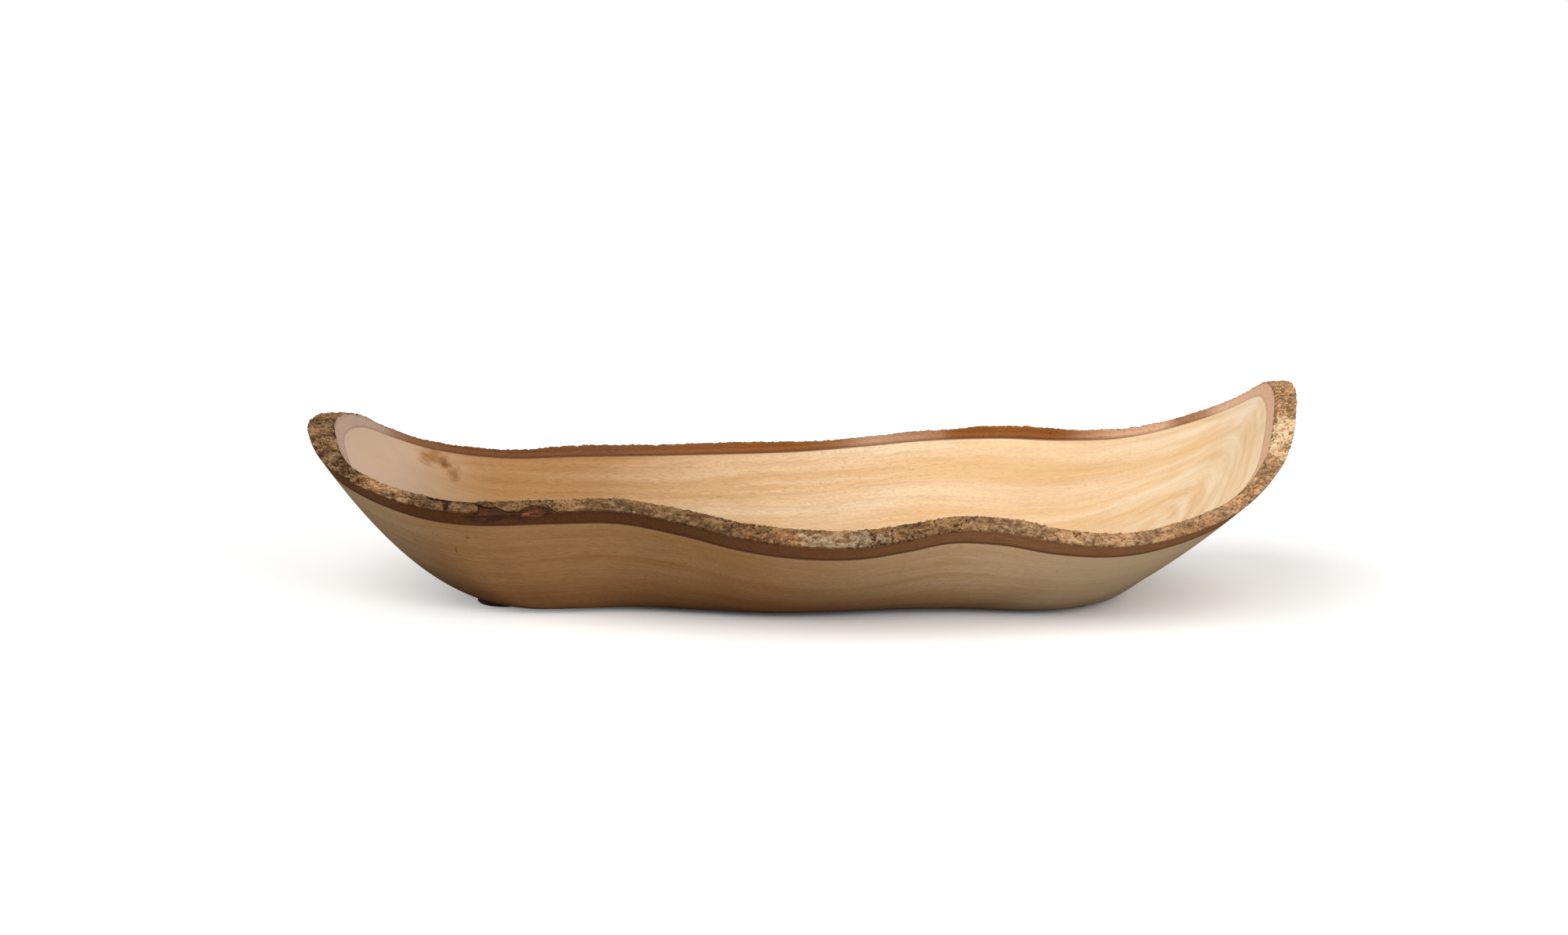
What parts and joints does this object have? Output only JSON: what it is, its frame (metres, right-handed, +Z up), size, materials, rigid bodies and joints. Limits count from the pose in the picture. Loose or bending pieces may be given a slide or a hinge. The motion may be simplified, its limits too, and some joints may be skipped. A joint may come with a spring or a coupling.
{
  "type": "wooden bowl",
  "caption": "Long natural-edge wooden bowl hollowed from half a log, with bark left along its rolling rim and felt pads underneath.",
  "frame": {"origin": "on the table under the middle of the bowl's overall box", "axes": "+X along the log towards the higher end, +Y towards the far side, +Z up"},
  "size_m": [0.48, 0.176, 0.1024],
  "materials": {
    "wood": "oiled, fine sanded",
    "inner_bark": "smooth, oiled",
    "rough_bark": "rough, dry",
    "pale_bark": "rough, dry, lichen",
    "felt": "wool felt"
  },
  "bodies": {
    "root": {"bowl_body": "wood", "inner_bark": "inner_bark", "bark_left_tip": "rough_bark", "bark_left_corner": "rough_bark", "bark_near_left": "rough_bark", "bark_flake": "rough_bark", "bark_broken_strip": "rough_bark", "bark_near_middle": "rough_bark", "bark_near_dip": "rough_bark", "bark_near_right": "rough_bark", "bark_right_corner": "rough_bark", "bark_right_pale": "pale_bark", "bark_right_tip": "rough_bark", "bark_far_right": "rough_bark", "bark_far_middle": "rough_bark", "bark_far_left": "rough_bark", "pad_near_left": "felt", "pad_far_left": "felt", "pad_near_right": "felt", "pad_far_right": "felt"}
  },
  "joints": []
}
